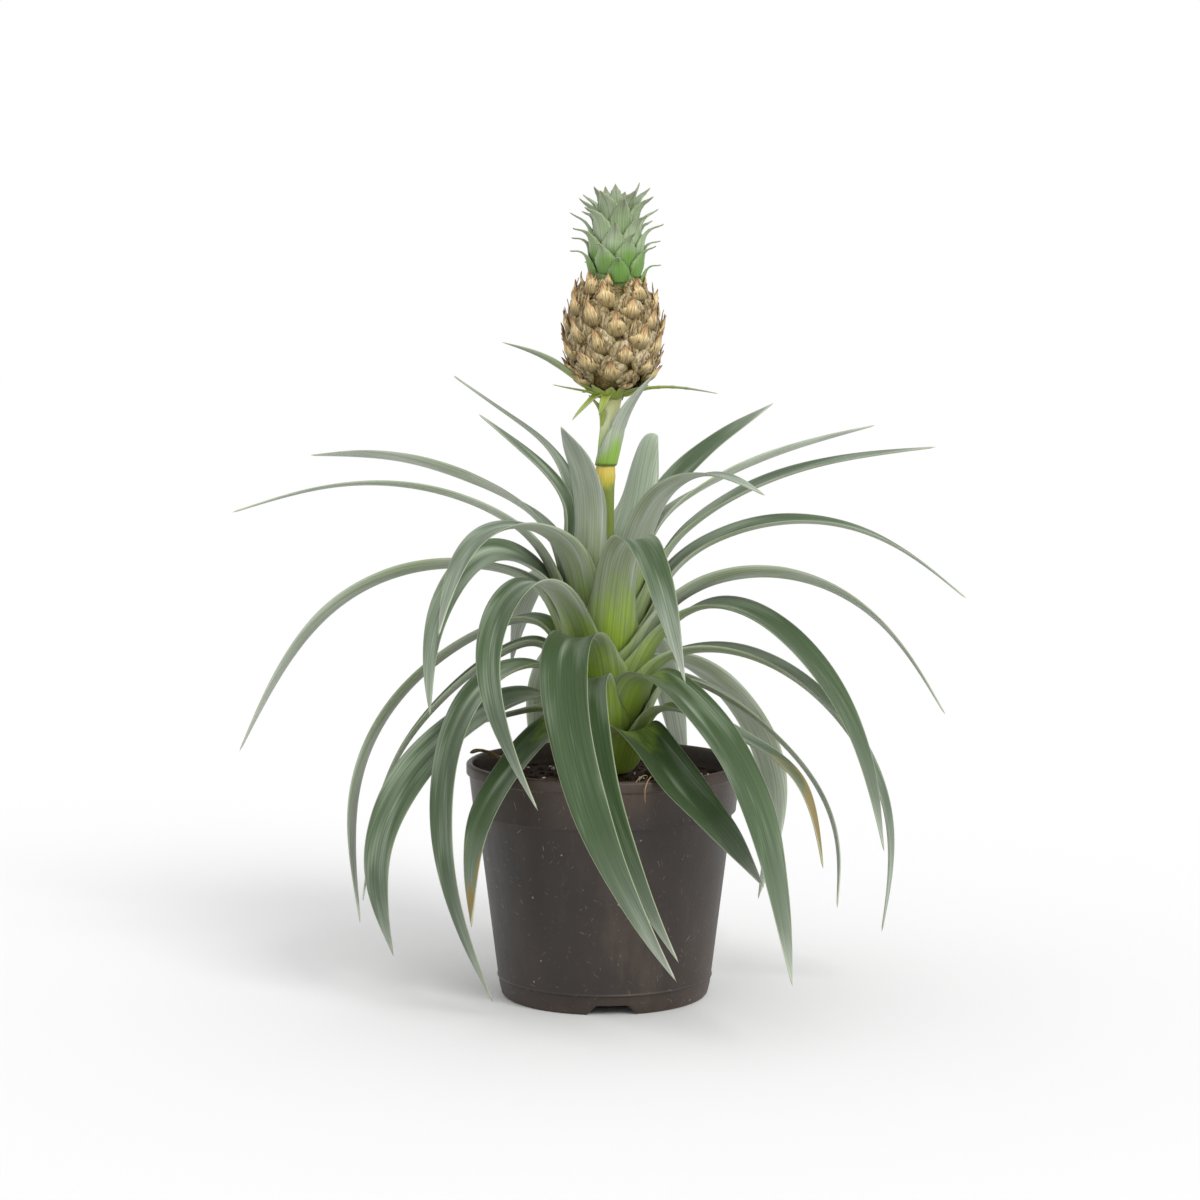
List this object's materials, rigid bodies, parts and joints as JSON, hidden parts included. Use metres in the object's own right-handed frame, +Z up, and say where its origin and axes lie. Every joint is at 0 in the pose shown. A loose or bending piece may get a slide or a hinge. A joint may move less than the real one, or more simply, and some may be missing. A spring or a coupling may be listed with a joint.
{
  "type": "potted pineapple plant",
  "caption": "Ornamental pineapple with a small crowned fruit on a stalk above a rosette of long arching leaves, in a round ribless nursery pot with a rolled lip.",
  "frame": {"origin": "middle of the whole plant's footprint, which is the pot's axis, on the surface the pot stands on", "axes": "+Z up along the pot and stalk, -Y towards the front as the plant is shown, +X to the right of that front"},
  "size_m": [0.3194, 0.248, 0.3513],
  "materials": {
    "pot": "satin black moulded polypropylene, dusty and scuffed",
    "soil": "rough damp peat compost with perlite and bark chips",
    "stem": "satin green plant tissue",
    "stalk": "satin green plant tissue with a pale bloom",
    "leaf": "tough waxy leaf, green above and silvery below, with pale saw-toothed margins",
    "bract": "satin green bract",
    "fruit": "rough scaly rind",
    "crown": "waxy blue-green leaves"
  },
  "bodies": {
    "root": {"pot": "pot", "soil": "soil", "stem": "stem", "stalk": "stalk", "stalk_leaf": "bract", "leaf_01": "leaf", "leaf_02": "leaf", "leaf_03": "leaf", "leaf_04": "leaf", "leaf_05": "leaf", "leaf_06": "leaf", "leaf_07": "leaf", "leaf_08": "leaf", "leaf_09": "leaf", "leaf_10": "leaf", "leaf_11": "leaf", "leaf_12": "leaf", "leaf_13": "leaf", "leaf_14": "leaf", "leaf_15": "leaf", "leaf_16": "leaf", "leaf_17": "leaf", "leaf_18": "leaf", "leaf_19": "leaf", "leaf_20": "leaf", "leaf_21": "leaf", "leaf_22": "leaf", "leaf_23": "leaf", "leaf_24": "leaf", "leaf_25": "leaf", "leaf_26": "leaf", "leaf_27": "leaf", "leaf_28": "leaf", "leaf_29": "leaf", "leaf_30": "leaf", "leaf_31": "leaf", "leaf_32": "leaf", "leaf_33": "leaf", "leaf_34": "leaf", "leaf_35": "leaf", "leaf_36": "leaf", "leaf_37": "leaf", "leaf_38": "leaf", "leaf_39": "leaf", "leaf_40": "leaf", "leaf_41": "leaf", "bract_1": "bract", "bract_2": "bract", "bract_3": "bract", "bract_4": "bract", "bract_5": "bract", "bract_6": "bract", "bract_7": "bract", "fruit": "fruit", "crown_1": "crown", "crown_2": "crown", "crown_3": "crown", "crown_4": "crown", "crown_5": "crown"}
  },
  "joints": []
}
